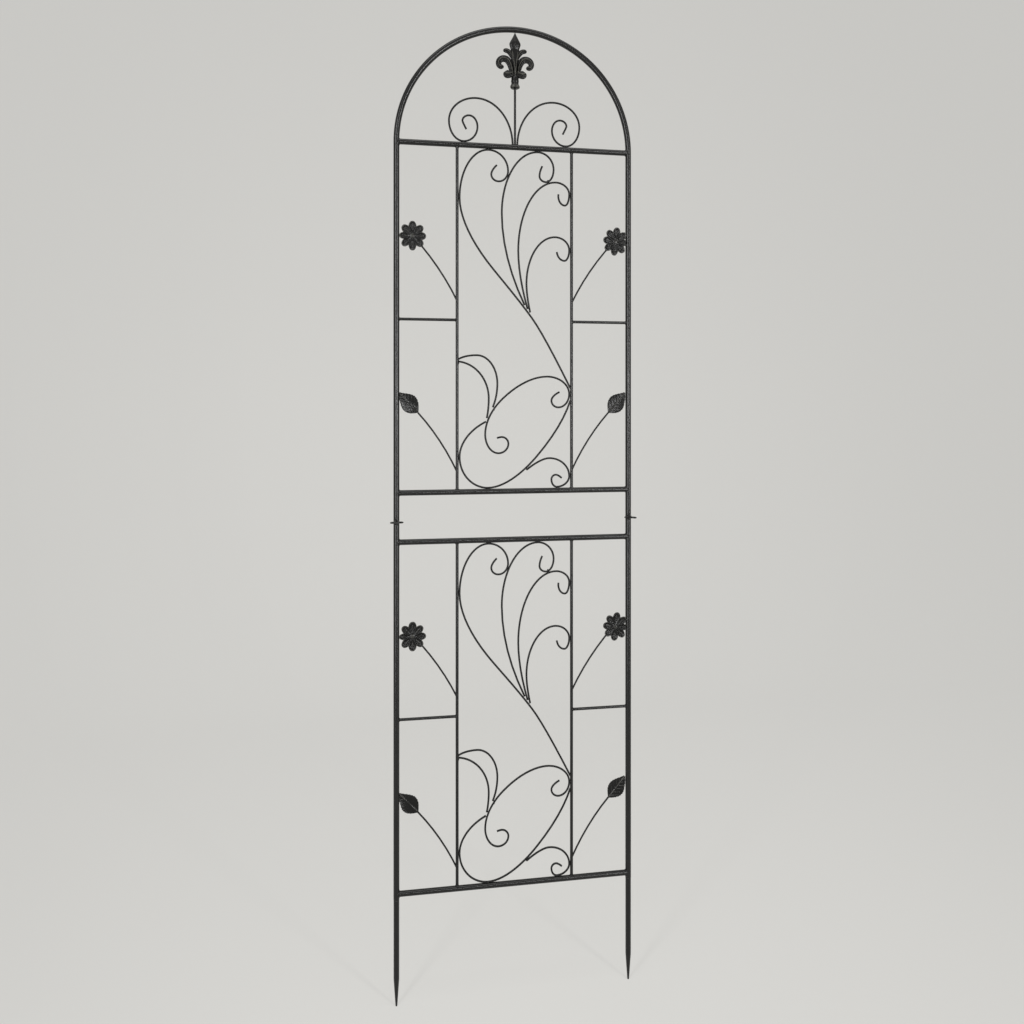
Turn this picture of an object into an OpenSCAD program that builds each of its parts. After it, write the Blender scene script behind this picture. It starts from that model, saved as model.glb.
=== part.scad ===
// Garden trellis in two panels with an arched top.
// The lower panel stands on two ground stakes, and the upper panel plugs into it.
// X runs across the trellis, Y from front to back, Z up. The stake tips are at Z = 0.

/* [Overall] */
// Width over the outside of the posts
trellis_w = 500; // [440:1:640]
// Height of each panel, from rail centre to rail centre
panel_h = 713; // [600:1:860]
// Distance between the two rails where the panels meet, centre to centre
panel_gap = 100; // [80:1:150]
// Bottom rail to the tips of the stakes
stake_reach = 227; // [150:1:400]
// Distance between the two uprights, centre to centre
bay_w = 241; // [200:1:280]
// Height of the short crossbars above the lower rail of their panel
crossbar_rise = 353; // [280:1:420]

/* [Tubes and bars] */
// Outside diameter of the posts and the arch
tube_d = 12; // [10:0.1:16]
// Wall of the posts and the arch
tube_wall = 1; // [0.8:0.1:1.5]
// Outside diameter of the rails
rail_d = 11.5; // [9:0.1:11.8]
// Wall of the rails
rail_wall = 1; // [0.8:0.1:1.5]
// Diameter of the solid uprights
upright_d = 6.3; // [5:0.1:9]
// Diameter of the solid crossbars
crossbar_d = 6; // [4:0.1:8.5]
// Diameter of the scroll wire
wire_d = 4; // [3:0.1:5]
// Diameter of the flower and leaf stems
stem_d = 3.6; // [3:0.1:5]
// How far a weld sinks one wire into the next
weld_bite = 0.12; // [0.05:0.01:0.2]
// How far the tips of the flowers and leaves are let into the post
tip_bite = 0.6; // [0.3:0.1:1.5]

/* [Plug-in joint] */
// Height of the tube joint above the top rail of the lower panel
joint_rise = 48.5; // [36:0.5:60]
// Length of the swaged spigot below the joint
spigot_len = 60; // [40:1:90]
// Radial clearance of the spigot in the lower post
spigot_gap = 0.08; // [0.05:0.01:0.1]
// Length of the taper inside the tube above the spigot
swage_len = 6; // [3:0.5:12]

/* [Wing screws] */
// Thread diameter of the wing screws
screw_d = 5; // [4:0.5:6]
// Depth of each wing screw below the tube joint
screw_drop = 6.5; // [5:0.5:12]
// Radial clearance of the screw in its threaded boss
screw_gap = 0.05; // [0.02:0.01:0.1]
// Gap between the screw tip and the spigot, screw backed off
tip_gap = 0.1; // [0.05:0.05:0.5]
// Diameter of the boss welded to the post
boss_d = 10; // [8:0.5:11]
// Height of the boss in front of the post
boss_h = 3.5; // [2:0.5:8]
// Width over the wings
wing_span = 27; // [20:1:36]
// Thickness of the wings
wing_t = 3.2; // [1.5:0.1:4]
// Diameter of the screw's hub
hub_d = 8; // [7:0.5:10]
// Length of the screw's hub
hub_h = 6; // [4:0.5:10]

/* [Ground stakes] */
// Diameter of the solid stakes
stake_d = 11.5; // [9:0.1:12]
// Length of the pointed end
point_len = 56; // [30:1:90]
// Diameter of the blunt tip
tip_d = 3.6; // [2:0.1:6]
// Gap below the bottom rail to the shoulder of the stake
shoulder_drop = 11; // [8:1:20]
// Length of the stake's tenon inside the post
tenon_len = 25; // [10:1:40]
// Radial clearance of the tenon in the post
tenon_gap = 0.02; // [0.01:0.01:0.1]

/* [Flowers and leaves] */
// Width of a flower
flower_w = 55; // [40:1:70]
// Height of a flower
flower_h = 60; // [40:1:76]
// Height of the flower's centre above the lower rail
flower_rise = 523; // [460:1:560]
// Number of petals
petals = 8; // [6:1:10]
// Width of a petal
petal_w = 14.4; // [10:0.1:18]
// Thickness of the pressed flower
flower_t = 3.4; // [2.4:0.1:5]
// Depth of the hollow pressed into each petal
petal_dish = 1.6; // [0.5:0.1:2]
// Radius of the rib down the middle of each petal
rib_r = 1; // [0.6:0.1:1.5]
// Height above the lower rail at which the flower stem leaves the upright
flower_foot = 392; // [300:1:440]
// Length of a leaf
leaf_len = 57; // [40:1:70]
// Width of a leaf
leaf_w = 36; // [24:1:48]
// Thickness of a leaf
leaf_t = 1.8; // [1.2:0.1:3]
// Height of the leaf's base above the lower rail
leaf_rise = 163; // [120:1:220]
// Height above the lower rail at which the leaf stem leaves the upright
leaf_foot = 41; // [30:1:100]
// How much steeper a stem starts than it ends
stem_turn = 17; // [5:1:40]
// Slope of the leaf from the horizontal
leaf_slope = 48; // [30:1:60]

/* [Arch ornament] */
// Height of the fleur-de-lis, collar to tip
finial_h = 116; // [80:1:140]
// Diameter of the rod below the fleur-de-lis
rod_d = 4.8; // [4:0.1:8]
// Width of each top scroll
top_scroll_w = 134.5; // [90:0.5:150]
// Height of each top scroll
top_scroll_h = 92; // [60:1:120]
// Distance of a top scroll's foot from the middle of the rail
top_scroll_foot = 4.8; // [4.6:0.1:12]

/* [Hidden] */
$fn = 64;
wire_sides = 8;
bend_step = 16;
eps = 0.01;

post_x = (trellis_w - tube_d) / 2;
upright_x = bay_w / 2;
rail4_z = stake_reach;
rail3_z = rail4_z + panel_h;
rail2_z = rail3_z + panel_gap;
rail1_z = rail2_z + panel_h;
joint_z = rail3_z + joint_rise;
screw_z = joint_z - screw_drop;
shoulder_z = rail4_z - shoulder_drop;
tube_r = tube_d / 2;
bore_r = tube_r - tube_wall;
spigot_r = bore_r - spigot_gap;
screw_r = screw_d / 2;
screw_bore_r = screw_r + screw_gap;
post_side = post_x - tube_r + tip_bite;
flower_x = post_side - flower_w / 2;
leaf_base_x = post_side - leaf_len * cos(leaf_slope);
finial_z = rail1_z + post_x - tube_r - finial_h;
wire_r = wire_d / 2;
reach_x = upright_x - upright_d / 2 - wire_r + weld_bite;
reach_z = rail_d / 2 + wire_r - weld_bite;

steel = [0.16, 0.16, 0.155];
bright = [0.42, 0.42, 0.41];

// ---- Bent wire ----
// A route is a list of way points [x, z, heading]. Between two way points the wire
// turns evenly, as a quarter of an ellipse does, so that only the outermost points
// of each bend are given. Heading 0 points along +X and 90 points up.

function turn_of(a, b) = (b[2] - a[2] + 540) % 360 - 180;
function along(h) = [cos(h), sin(h)];
function cross2(p, q) = p[0] * q[1] - p[1] * q[0];
function place(p) = [p[0], p[1]];

// Handle lengths of the curve from a to b, as [leaving a, reaching b]
function handles(a, b) =
    let (t = turn_of(a, b), d = place(b) - place(a), k = 4 / 3 * tan(abs(t) / 4) / tan(abs(t) / 2))
    abs(t) < 4 ? [norm(d) / 3, norm(d) / 3] :
    [
        k * cross2(d, along(b[2])) / sin(t),
        k * cross2(along(a[2]), d) / sin(t)
    ];

function on_curve(a, b, f) =
    let (
        h = handles(a, b),
        p = place(a) + h[0] * along(a[2]),
        q = place(b) - h[1] * along(b[2]),
        g = 1 - f
    )
    g * g * g * place(a) + 3 * f * g * g * p + 3 * f * f * g * q + f * f * f * place(b);

function steps(a, b) = max(2, ceil(abs(turn_of(a, b)) / bend_step));

function centre_line(route) = [
    place(route[0]),
    for (i = [1 : len(route) - 1], n = steps(route[i - 1], route[i]), k = [1 : n])
        on_curve(route[i - 1], route[i], k / n)
];

// Bar of round section along a route. r0 and r1 are its radii at the two ends, and
// flat thins the section from front to back.
module wire(route, r0 = wire_d / 2, r1 = undef, flat = 1, sides = wire_sides) {
    line = centre_line(route);
    n = len(line);
    last = is_undef(r1) ? r0 : r1;
    points = [
        for (i = [0 : n - 1])
            let (
                d = line[min(i + 1, n - 1)] - line[max(i - 1, 0)],
                u = d / norm(d),
                r = r0 + (last - r0) * i / (n - 1)
            )
            for (k = [0 : sides - 1])
                let (a = 360 * k / sides)
                [
                    line[i][0] - u[1] * r * cos(a),
                    -r * flat * sin(a),
                    line[i][1] + u[0] * r * cos(a)
                ]
    ];
    faces = [
        [for (k = [0 : sides - 1]) k],
        [for (k = [0 : sides - 1]) n * sides - 1 - k],
        for (i = [0 : n - 2], k = [0 : sides - 1])
            let (a = i * sides + k, b = i * sides + (k + 1) % sides)
            [a, a + sides, b + sides, b]
    ];
    polyhedron(points, faces, convexity = 10);
}

// ---- Scrolls of one panel ----
// Way points in percent of the bay between the uprights and the rails. At 0 and 100
// the wire touches the upright or the rail beside it.

function in_bay(route) = [
    for (p = route)
        [(p[0] / 50 - 1) * reach_x, reach_z + p[1] / 100 * (panel_h - 2 * reach_z), p[2]]
];

heart = [
    [33.5, 95.6, 224], [28.5, 92.8, 270], [35, 90.8, 0], [43.7, 94, 90],
    [26, 100, 180], [0, 85.5, 270], [30.1, 64.8, 310], [65.6, 50.4, 306.5], [101, 29.6, 297]
];
lobe = [[101, 25.8, 252], [70, 9.2, 229], [25.5, 0, 180], [0, 9.2, 90], [23.2, 19.5, 27]];
tall_frond = [
    [58.83, 54.24, 116], [38, 81.4, 90], [71, 100, 0], [85.5, 95, 270],
    [78.5, 91.2, 180], [72.5, 92.9, 90], [75, 95.9, 64]
];
middle_frond = [
    [61.54, 53.09, 106], [53, 70.4, 90], [87.5, 91.2, 0], [100, 87.8, 270], [96, 84.4, 180],
    [90, 87.7, 82]
];
short_frond = [
    [63.88, 52.09, 102], [60.5, 60.6, 90], [87, 74.8, 0], [100, 71, 270], [95.5, 67.8, 180],
    [88.5, 70.4, 96]
];
s_scroll = [
    [91, 28.4, 205], [83.5, 25.8, 270], [90, 23.8, 0], [100, 27.8, 90], [79.5, 33, 180],
    [39.5, 26.6, 223], [23, 15.8, 270], [35, 10.2, 0], [44, 13, 90], [38, 15, 180],
    [33.6, 14.7, 198]
];
outer_crescent = [[-1, 38, 30], [15.5, 39.2, 0], [34, 30.8, 270], [29.8, 23.8, 247]];
inner_crescent = [[-1, 37.3, 354], [26.2, 26.4, 270], [24.42, 20.6, 258]];
tail_scroll = [
    [60.4, 5.15, 38], [81.5, 8.6, 0], [100, 3.2, 270], [88.5, 0, 180], [83.5, 2.2, 90],
    [87.5, 3.6, 0], [93, 2.6, 316]
];

module scroll(route, z) {
    color(steel)
    translate([0, 0, z])
    difference() {
        wire(in_bay(route));
        for (s = [-1, 1])
            if (min([for (p = route) s * (p[0] - 50)]) < -50)
                translate([-s * upright_x, 0, 0])
                cylinder(d = upright_d, h = panel_h);
    }
}

// ---- Straight members ----

module pipe(r, wall, h) {
    difference() {
        cylinder(r = r, h = h);
        translate([0, 0, -eps])
        cylinder(r = r - wall, h = h + 2 * eps);
    }
}

module rail(z) {
    color(steel)
    difference() {
        translate([-post_x, 0, z])
        rotate([0, 90, 0])
        pipe(rail_d / 2, rail_wall, 2 * post_x);
        for (s = [-1, 1])
            translate([s * post_x, 0, z - rail_d])
            cylinder(d = tube_d, h = 2 * rail_d);
    }
}

module upright(side, z) {
    color(steel)
    difference() {
        translate([side * upright_x, 0, z])
        cylinder(d = upright_d, h = panel_h);
        for (k = [0, 1])
            translate([side * upright_x - upright_d, 0, z + k * panel_h])
            rotate([0, 90, 0])
            cylinder(d = rail_d, h = 2 * upright_d);
    }
}

module crossbar(side, z) {
    color(steel)
    difference() {
        translate([side < 0 ? -post_x : upright_x, 0, z + crossbar_rise])
        rotate([0, 90, 0])
        cylinder(d = crossbar_d, h = post_x - upright_x);
        translate([side * post_x, 0, z + crossbar_rise - tube_d])
        cylinder(d = tube_d, h = 2 * tube_d);
        translate([side * upright_x, 0, z + crossbar_rise - tube_d])
        cylinder(d = upright_d, h = 2 * tube_d);
    }
}

module lower_post(side) {
    color(steel)
    translate([side * post_x, 0, 0])
    difference() {
        translate([0, 0, shoulder_z])
        pipe(tube_r, tube_wall, joint_z - shoulder_z);
        translate([0, 0, screw_z])
        rotate([90, 0, 0])
        cylinder(r = screw_bore_r, h = tube_d);
    }
}

module stake(side) {
    tenon_r = bore_r - tenon_gap;
    color(steel)
    translate([side * post_x, 0, 0])
    rotate_extrude()
    polygon([
        [0, 0], [tip_d / 2, 0], [stake_d / 2, point_len], [stake_d / 2, shoulder_z],
        [tenon_r, shoulder_z], [tenon_r, shoulder_z + tenon_len], [0, shoulder_z + tenon_len]
    ]);
}

module screw_boss(side) {
    color(steel)
    translate([side * post_x, 0, screw_z])
    difference() {
        rotate([90, 0, 0])
        cylinder(d = boss_d, h = tube_r + boss_h);
        translate([0, 0, -boss_d])
        cylinder(r = tube_r, h = 2 * boss_d);
        rotate([90, 0, 0])
        cylinder(r = screw_bore_r, h = tube_d + boss_h);
    }
}

// Wing screw, seen from the front as a hub with two tapered wings
module wing_screw(side) {
    seat = tube_r + boss_h + 0.2;
    tip = spigot_r + tip_gap;
    wing_root = hub_d / 2 - 1;
    wing_rise = hub_h + 3;
    color(bright)
    translate([side * post_x, 0, screw_z])
    rotate([90, 0, 0]) {
        translate([0, 0, tip])
        cylinder(r = screw_r, h = seat - tip + 1);
        translate([0, 0, seat])
        cylinder(d1 = hub_d, d2 = hub_d - 1.6, h = hub_h);
        for (s = [0, 180])
            rotate([0, 0, s])
            rotate([90, 0, 0])
            translate([0, 0, -wing_t / 2])
            linear_extrude(wing_t)
            union() {
                polygon([
                    [wing_root, seat + 0.6], [wing_span / 2 - 3, seat + wing_rise - 4],
                    [wing_span / 2 - 4.6, seat + wing_rise], [wing_root, seat + hub_h - 0.6]
                ]);
                translate([wing_span / 2 - 3, seat + wing_rise - 2.2])
                circle(d = 6);
            }
    }
}

// ---- Arched frame of the upper panel ----

module arch_rod(r, foot) {
    for (s = [-1, 1])
        translate([s * post_x, 0, foot])
        cylinder(r = r, h = rail1_z - foot);
    translate([0, 0, rail1_z])
    rotate([90, 0, 0])
    rotate_extrude(angle = 180)
    translate([post_x, 0])
    circle(r = r);
}

module arch_frame() {
    spigot_bore = spigot_r - tube_wall;
    bore_z = joint_z + swage_len + 4;
    color(steel)
    difference() {
        union() {
            arch_rod(tube_r, joint_z);
            for (s = [-1, 1])
                translate([s * post_x, 0, joint_z - spigot_len])
                cylinder(r = spigot_r, h = spigot_len + 1);
        }
        arch_rod(bore_r, bore_z);
        for (s = [-1, 1])
            translate([s * post_x, 0, 0]) {
                translate([0, 0, joint_z - spigot_len - eps])
                cylinder(r = spigot_bore, h = spigot_len + 4 + 2 * eps);
                translate([0, 0, bore_z - swage_len])
                cylinder(r1 = spigot_bore, r2 = bore_r, h = swage_len);
            }
    }
}

// ---- Flowers and leaves ----

function petal_reach(a) =
    1 / sqrt(pow(cos(a) / (flower_w / 2), 2) + pow(sin(a) / (flower_h / 2), 2)) - petal_w / 2;

// Pressed flower with spoon-shaped petals, centred on the origin and facing front. The
// petals run side by side from the middle to where they are too narrow to touch.
module flower_disc() {
    rim = 1.1;
    dish_r = (pow(petal_w / 2 - rim, 2) + petal_dish * petal_dish) / (2 * petal_dish);
    split_r = petal_w / 2 / tan(180 / petals);
    difference() {
        rotate([90, 0, 0])
        linear_extrude(flower_t)
        for (i = [0 : petals - 1])
            rotate(i * 360 / petals)
            union() {
                translate([petal_reach(i * 360 / petals), 0])
                circle(d = petal_w);
                polygon([
                    [-1, 0], [split_r, -petal_w / 2], [petal_reach(i * 360 / petals), -petal_w / 2],
                    [petal_reach(i * 360 / petals), petal_w / 2], [split_r, petal_w / 2]
                ]);
            }
        for (i = [0 : petals - 1])
            rotate([0, -i * 360 / petals, 0])
            translate([petal_reach(i * 360 / petals) - 1, -flower_t - dish_r + petal_dish, 0])
            sphere(r = dish_r);
    }
    for (i = [0 : petals - 1])
        rotate([0, -i * 360 / petals, 0])
        translate([0, petal_dish - flower_t, 0])
        rotate([0, 90, 0])
        cylinder(r1 = rib_r, r2 = rib_r / 2, h = petal_reach(i * 360 / petals) + 1);
    translate([0, -flower_t + 1, 0])
    rotate([90, 0, 0])
    cylinder(r1 = flower_w / 8, r2 = flower_w / 14, h = 3);
}

module flower(side, z) {
    color(steel)
    difference() {
        translate([side * flower_x, -stem_d / 2 + 0.1, z + flower_rise])
        rotate([0, side > 0 ? 7 : 0, 0])
        flower_disc();
        translate([side * post_x, 0, z + flower_rise - flower_h])
        cylinder(r = tube_r, h = 2 * flower_h);
    }
}

// Leaf from its base at the origin towards +X, cupped to the back
module leaf_blade() {
    r = (pow(leaf_len / 2, 2) + pow(leaf_w / 2, 2)) / leaf_w;
    cup_r = 2 * leaf_len;
    intersection() {
        rotate([90, 0, 0])
        translate([0, 0, -cup_r])
        linear_extrude(2 * cup_r)
        intersection() {
            translate([leaf_len / 2, r - leaf_w / 2])
            circle(r = r);
            translate([leaf_len / 2, leaf_w / 2 - r])
            circle(r = r);
        }
        translate([leaf_len / 2, cup_r - leaf_t, 0])
        difference() {
            sphere(r = cup_r);
            sphere(r = cup_r - leaf_t);
        }
    }
    rotate([0, 90, 0])
    translate([0, -leaf_t - 0.4, 0])
    cylinder(r1 = 1.4, r2 = 0.8, h = leaf_len - 6);
}

module leaf(side, z) {
    color(steel)
    mirror([side < 0 ? 1 : 0, 0, 0])
    difference() {
        translate([leaf_base_x, 0, z + leaf_rise])
        rotate([0, -leaf_slope, 0])
        leaf_blade();
        translate([post_x, 0, z + leaf_rise])
        cylinder(r = tube_r, h = 2 * leaf_len);
    }
}

module stem(side, z, foot, top_x, top_z, heading) {
    color(steel)
    mirror([side < 0 ? 1 : 0, 0, 0])
    translate([0, 0, z])
    difference() {
        wire([[upright_x, foot, heading + stem_turn], [top_x, top_z, heading]], stem_d / 2);
        translate([upright_x, 0, 0])
        cylinder(d = upright_d, h = panel_h);
    }
}

module flower_stem(side, z) {
    stem(side, z, flower_foot, flower_x, flower_rise, 47);
}

module leaf_stem(side, z) {
    stem(side, z, leaf_foot, leaf_base_x, leaf_rise, 48);
}

// ---- Ornament inside the arch ----

top_scroll_route = [
    [0, -4, 90], [57.5, 100, 0], [100, 45.5, 270], [77.5, 0, 180], [55.5, 34.5, 90],
    [68.5, 59.5, 0], [79, 46.5, 270], [73, 27.5, 242]
];

module top_scroll(side) {
    foot_z = rail1_z + reach_z;
    color(steel)
    mirror([side < 0 ? 1 : 0, 0, 0])
    difference() {
        wire([
            for (p = top_scroll_route)
                [
                    top_scroll_foot + p[0] / 100 * (top_scroll_w - wire_r),
                    foot_z + p[1] / 100 * (top_scroll_h - wire_r),
                    p[2]
                ]
        ]);
        translate([-2 * rail_d, 0, rail1_z])
        rotate([0, 90, 0])
        cylinder(d = rail_d, h = 4 * rail_d);
    }
}

module finial_rod() {
    color(steel)
    difference() {
        translate([0, 0, rail1_z])
        cylinder(d = rod_d, h = finial_z - rail1_z);
        translate([-rail_d, 0, rail1_z])
        rotate([0, 90, 0])
        cylinder(d = rail_d, h = 2 * rail_d);
    }
}

// Solid of diamond section through stations [z, half width, half depth]
module diamond_loft(stations) {
    n = len(stations);
    points = [
        for (s = stations, k = [0 : 3])
            [s[1] * cos(90 * k), s[2] * sin(90 * k), s[0]]
    ];
    faces = [
        [0, 1, 2, 3],
        [for (k = [0 : 3]) 4 * n - 1 - k],
        for (i = [0 : n - 2], k = [0 : 3])
            let (a = 4 * i + k, b = 4 * i + (k + 1) % 4)
            [a, a + 4, b + 4, b]
    ];
    polyhedron(points, faces);
}

// Cast fleur-de-lis, drawn at 116 mm and scaled to its height
module finial() {
    k = finial_h / 116;
    color(steel)
    translate([0, 0, finial_z])
    scale(k) {
        rotate_extrude($fn = 24)
        polygon([
            [0, 0], [8.4, 0], [9.5, 2], [9.5, 5], [7.7, 9], [8.1, 12], [8.1, 17], [7.6, 20],
            [7.6, 24], [0, 24]
        ]);
        diamond_loft([
            [20, 7.6, 5], [40, 9, 6.5], [64, 9.6, 5.8], [78, 8.6, 5], [91, 11.6, 5.5],
            [116.4, 0.7, 0.7]
        ]);
        for (s = [0, 1])
            mirror([s, 0, 0]) {
                wire([[5.5, 24, 84], [22.8, 61.2, 0], [34.6, 51, 270], [30, 44.8, 165]], 6.4,
                    5.6, 0.72);
                wire([[5, 62, 62], [17, 77.8, 0], [24, 75, 325]], 5.4, 1.8, 0.72);
                wire([[3, 33, 320], [13.5, 27.6, 350], [21.2, 30.6, 50]], 5.6, 6, 0.8);
            }
    }
}

// ---- Drawing ----

lower_post(-1);  // lower_left_post
lower_post(1);  // lower_right_post
stake(-1);  // left_stake
stake(1);  // right_stake
screw_boss(-1);  // left_screw_boss
screw_boss(1);  // right_screw_boss
rail(rail4_z);  // lower_bottom_rail
rail(rail3_z);  // lower_top_rail
upright(-1, rail4_z);  // lower_left_upright
upright(1, rail4_z);  // lower_right_upright
crossbar(-1, rail4_z);  // lower_left_crossbar
crossbar(1, rail4_z);  // lower_right_crossbar
scroll(heart, rail4_z);  // lower_heart_scroll
scroll(lobe, rail4_z);  // lower_lobe_scroll
scroll(tall_frond, rail4_z);  // lower_tall_frond
scroll(middle_frond, rail4_z);  // lower_middle_frond
scroll(short_frond, rail4_z);  // lower_short_frond
scroll(s_scroll, rail4_z);  // lower_s_scroll
scroll(outer_crescent, rail4_z);  // lower_outer_crescent
scroll(inner_crescent, rail4_z);  // lower_inner_crescent
scroll(tail_scroll, rail4_z);  // lower_tail_scroll
flower(-1, rail4_z);  // lower_left_flower
flower(1, rail4_z);  // lower_right_flower
flower_stem(-1, rail4_z);  // lower_left_flower_stem
flower_stem(1, rail4_z);  // lower_right_flower_stem
leaf(-1, rail4_z);  // lower_left_leaf
leaf(1, rail4_z);  // lower_right_leaf
leaf_stem(-1, rail4_z);  // lower_left_leaf_stem
leaf_stem(1, rail4_z);  // lower_right_leaf_stem
arch_frame();
rail(rail2_z);  // upper_bottom_rail
rail(rail1_z);  // upper_top_rail
upright(-1, rail2_z);  // upper_left_upright
upright(1, rail2_z);  // upper_right_upright
crossbar(-1, rail2_z);  // upper_left_crossbar
crossbar(1, rail2_z);  // upper_right_crossbar
scroll(heart, rail2_z);  // upper_heart_scroll
scroll(lobe, rail2_z);  // upper_lobe_scroll
scroll(tall_frond, rail2_z);  // upper_tall_frond
scroll(middle_frond, rail2_z);  // upper_middle_frond
scroll(short_frond, rail2_z);  // upper_short_frond
scroll(s_scroll, rail2_z);  // upper_s_scroll
scroll(outer_crescent, rail2_z);  // upper_outer_crescent
scroll(inner_crescent, rail2_z);  // upper_inner_crescent
scroll(tail_scroll, rail2_z);  // upper_tail_scroll
flower(-1, rail2_z);  // upper_left_flower
flower(1, rail2_z);  // upper_right_flower
flower_stem(-1, rail2_z);  // upper_left_flower_stem
flower_stem(1, rail2_z);  // upper_right_flower_stem
leaf(-1, rail2_z);  // upper_left_leaf
leaf(1, rail2_z);  // upper_right_leaf
leaf_stem(-1, rail2_z);  // upper_left_leaf_stem
leaf_stem(1, rail2_z);  // upper_right_leaf_stem
top_scroll(-1);  // left_top_scroll
top_scroll(1);  // right_top_scroll
finial();
finial_rod();
wing_screw(-1);  // left_wing_screw
wing_screw(1);  // right_wing_screw
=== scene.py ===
import bpy, math
import numpy as np
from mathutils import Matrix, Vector


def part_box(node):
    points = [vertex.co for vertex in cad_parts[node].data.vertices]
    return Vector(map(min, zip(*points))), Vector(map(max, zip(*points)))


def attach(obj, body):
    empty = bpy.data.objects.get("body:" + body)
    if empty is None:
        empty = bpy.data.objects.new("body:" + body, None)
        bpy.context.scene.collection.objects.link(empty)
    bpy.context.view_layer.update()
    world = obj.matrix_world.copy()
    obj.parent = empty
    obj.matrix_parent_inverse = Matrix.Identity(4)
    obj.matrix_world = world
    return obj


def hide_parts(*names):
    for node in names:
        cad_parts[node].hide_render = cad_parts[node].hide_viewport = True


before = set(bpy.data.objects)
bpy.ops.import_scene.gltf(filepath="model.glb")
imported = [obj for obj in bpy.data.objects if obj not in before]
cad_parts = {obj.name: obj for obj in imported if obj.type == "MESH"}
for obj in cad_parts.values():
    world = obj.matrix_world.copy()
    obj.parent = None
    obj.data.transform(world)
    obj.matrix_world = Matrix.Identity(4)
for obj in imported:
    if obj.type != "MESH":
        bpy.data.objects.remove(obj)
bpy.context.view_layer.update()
print("frame loaded")

mm = 0.001  # the sizes in the dictionaries are in millimetres, apart from the studio's, in metres
scene = bpy.context.scene
panels = ("lower", "upper")
sides = (("left", -1), ("right", 1))
bodyOf = {"lower": "lower_panel", "upper": "upper_panel"}


# places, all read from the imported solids
def low(node):
    return Vector(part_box(node)[0])


def high(node):
    return Vector(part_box(node)[1])


def middle(node):
    return (low(node) + high(node)) / 2


def sizeOf(node):
    return high(node) - low(node)


postX = middle("lower_right_post").x
tubeRadius = sizeOf("lower_right_post").x / 2
jointZ = high("lower_right_post").z
shoulderZ = low("lower_right_post").z
railRadius = sizeOf("lower_top_rail").z / 2
uprightX = middle("lower_right_upright").x
uprightRadius = sizeOf("lower_right_upright").x / 2
crossbarRadius = sizeOf("lower_right_crossbar").z / 2
rodRadius = sizeOf("finial_rod").x / 2
wireRadius = sizeOf("lower_heart_scroll").y / 2
stemRadius = sizeOf("lower_left_leaf_stem").y / 2
panelFoot = {panel: middle(panel + "_bottom_rail").z for panel in panels}
panelHead = {panel: middle(panel + "_top_rail").z for panel in panels}
panelHeight = panelHead["lower"] - panelFoot["lower"]


def fromHex(code):
    parts = [int(code[i:i + 2], 16) / 255 for i in (1, 3, 5)]
    return tuple(c / 12.92 if c < 0.04045 else ((c + 0.055) / 1.055) ** 2.4 for c in parts) + (1.0,)


def inCamel(text):
    first, *rest = text.split("_")
    return first + "".join(word.title() for word in rest)


def easeBetween(start, end, value):
    share = np.clip((value - start) / (end - start), 0, 1)
    return share * share * (3 - 2 * share)


def around(count):  # even angles once round
    return np.linspace(0, 2 * np.pi, count, endpoint=False)


def runLength(points):  # distance along a line of points, from its start
    return np.concatenate([[0], np.cumsum(np.linalg.norm(np.diff(points, axis=0), axis=1))])


def addNode(tree, kind, inputs=None, give=0, **settings):  # adds a node and hands back one of its outputs
    node = tree.nodes.new(kind)
    for name, value in settings.items():
        setattr(node, name, value)
    for key, value in (inputs or {}).items():
        if isinstance(value, bpy.types.NodeSocket):
            tree.links.new(value, node.inputs[key])
        else:
            node.inputs[key].default_value = value
    return node.outputs[give] if node.outputs else None


def clearTree(owner):  # the empty node tree of a material or a world
    owner.use_nodes = True
    owner.node_tree.nodes.clear()
    return owner.node_tree


def newGroup(name, inputs, output):  # an empty geometry group, and what its named inputs give
    tree = bpy.data.node_groups.new(name, "GeometryNodeTree")
    for socket, kind in inputs.items():
        tree.interface.new_socket(socket, in_out="INPUT", socket_type="NodeSocket" + kind)
    tree.interface.new_socket(output, in_out="OUTPUT", socket_type="NodeSocketGeometry")
    return tree, tree.nodes.new("NodeGroupInput").outputs


def closeGroup(tree, output, geometry, finish):  # what is real by now gets its finish and goes out
    coated = addNode(tree, "GeometryNodeSetMaterial", {"Geometry": geometry, "Material": finish})
    addNode(tree, "NodeGroupOutput", {output: coated})
    return tree


def plainMesh(name, points, faces, edges=()):
    mesh = bpy.data.meshes.new(name)
    mesh.from_pydata([tuple(p) for p in points], edges, [tuple(int(i) for i in f) for f in faces])
    mesh.update()
    return mesh


def volumeOf(mesh):
    mesh.calc_loop_triangles()
    p = np.empty(len(mesh.vertices) * 3)
    mesh.vertices.foreach_get("co", p)
    t = np.empty(len(mesh.loop_triangles) * 3, int)
    mesh.loop_triangles.foreach_get("vertices", t)
    p, t = p.reshape(-1, 3), t.reshape(-1, 3)
    return float(np.einsum("ij,ij->i", p[t[:, 0]], np.cross(p[t[:, 1]], p[t[:, 2]])).sum() / 6)


def finishMesh(mesh, sharpAngle):  # faces outwards, and smooth apart from its sharp edges
    if volumeOf(mesh) < 0:
        mesh.flip_normals()
    mesh.shade_smooth()
    mesh.set_sharp_from_angle(angle=math.radians(sharpAngle))
    return mesh


def newMesh(name, skin, sharpAngle=38):  # a skin is (points, faces, and a 0 to 1 share of painted ridge highlight and of wear)
    points, faces, rub = skin
    mesh = plainMesh(name, points, faces)
    if rub is not None:  # how much painted highlight a ridge carries, and how worn a screw's wing tips are, from 0 to 1
        mesh.attributes.new("rub", "FLOAT", "POINT").data.foreach_set("value", np.asarray(rub, "f").ravel())
    return finishMesh(mesh, sharpAngle)


def newObject(name, data):
    made = bpy.data.objects.new(name, data)
    scene.collection.objects.link(made)
    return made


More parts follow.
